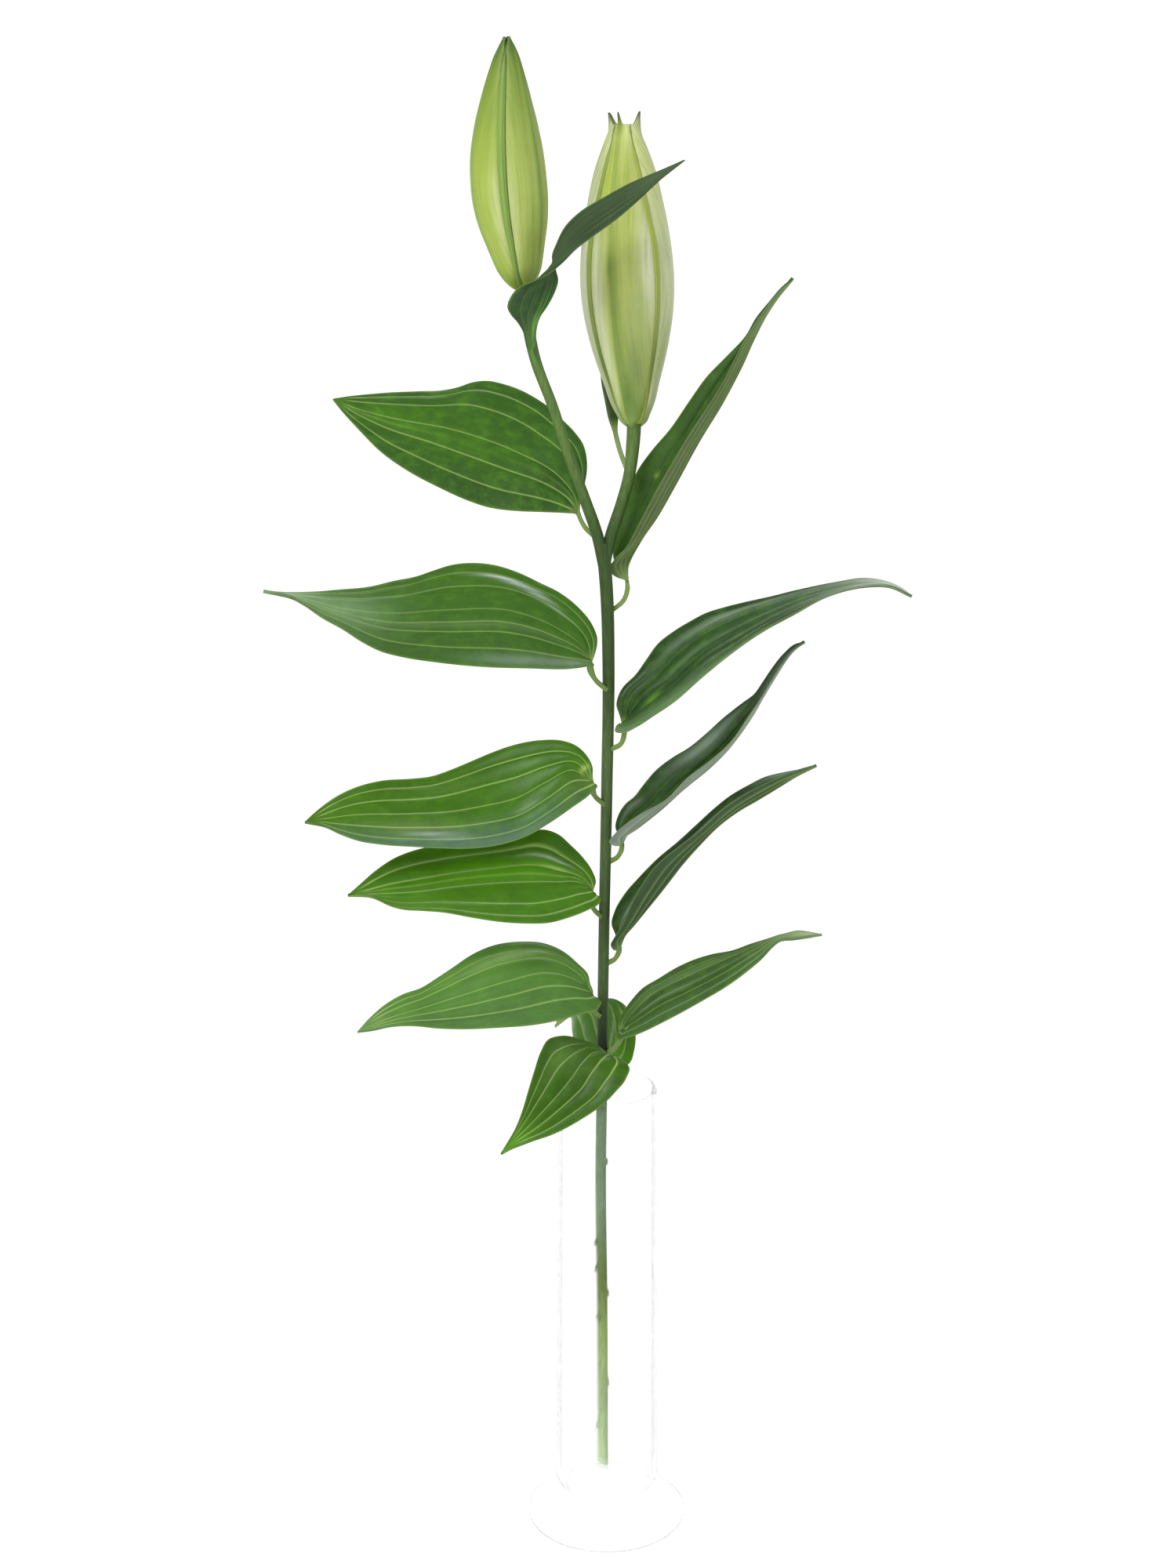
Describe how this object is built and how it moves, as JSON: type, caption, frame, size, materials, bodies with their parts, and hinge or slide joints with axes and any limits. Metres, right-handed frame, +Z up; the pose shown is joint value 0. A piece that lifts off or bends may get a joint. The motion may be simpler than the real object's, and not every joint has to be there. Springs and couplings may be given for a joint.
{
  "type": "lily in vase",
  "caption": "Single cut lily with closed buds and pointed leaves, standing in a slim clear glass cylinder vase on a spread round foot.",
  "frame": {"origin": "centre of the flat underside of the vase's foot", "axes": "+Z up along the vase, -Y towards the viewer of the picture, +X to their right"},
  "size_m": [0.301, 0.207, 0.7764],
  "materials": {
    "clear_glass": "clear, polished",
    "stem_green": "living stem, satin",
    "leaf_green": "living leaf, waxy",
    "bud_green": "living petal, matt",
    "bud_pale": "living petal, matt"
  },
  "bodies": {
    "root": {"glass_vase": "clear_glass", "stem": "stem_green", "leaf_left_1": "leaf_green", "leaf_left_2": "leaf_green", "leaf_left_3": "leaf_green", "leaf_left_4": "leaf_green", "leaf_left_5": "leaf_green", "leaf_right_1": "leaf_green", "leaf_right_2": "leaf_green", "leaf_right_3": "leaf_green", "leaf_right_4": "leaf_green", "leaf_right_5": "leaf_green", "leaf_front": "leaf_green", "leaf_back": "leaf_green", "bract_left": "leaf_green", "bract_right": "leaf_green", "left_bud_outer_tepal_1": "bud_green", "left_bud_outer_tepal_2": "bud_green", "left_bud_outer_tepal_3": "bud_green", "left_bud_inner_tepal_1": "bud_green", "left_bud_inner_tepal_2": "bud_green", "left_bud_inner_tepal_3": "bud_green", "right_bud_outer_tepal_1": "bud_pale", "right_bud_outer_tepal_2": "bud_pale", "right_bud_outer_tepal_3": "bud_pale", "right_bud_inner_tepal_1": "bud_pale", "right_bud_inner_tepal_2": "bud_pale", "right_bud_inner_tepal_3": "bud_pale"}
  },
  "joints": []
}
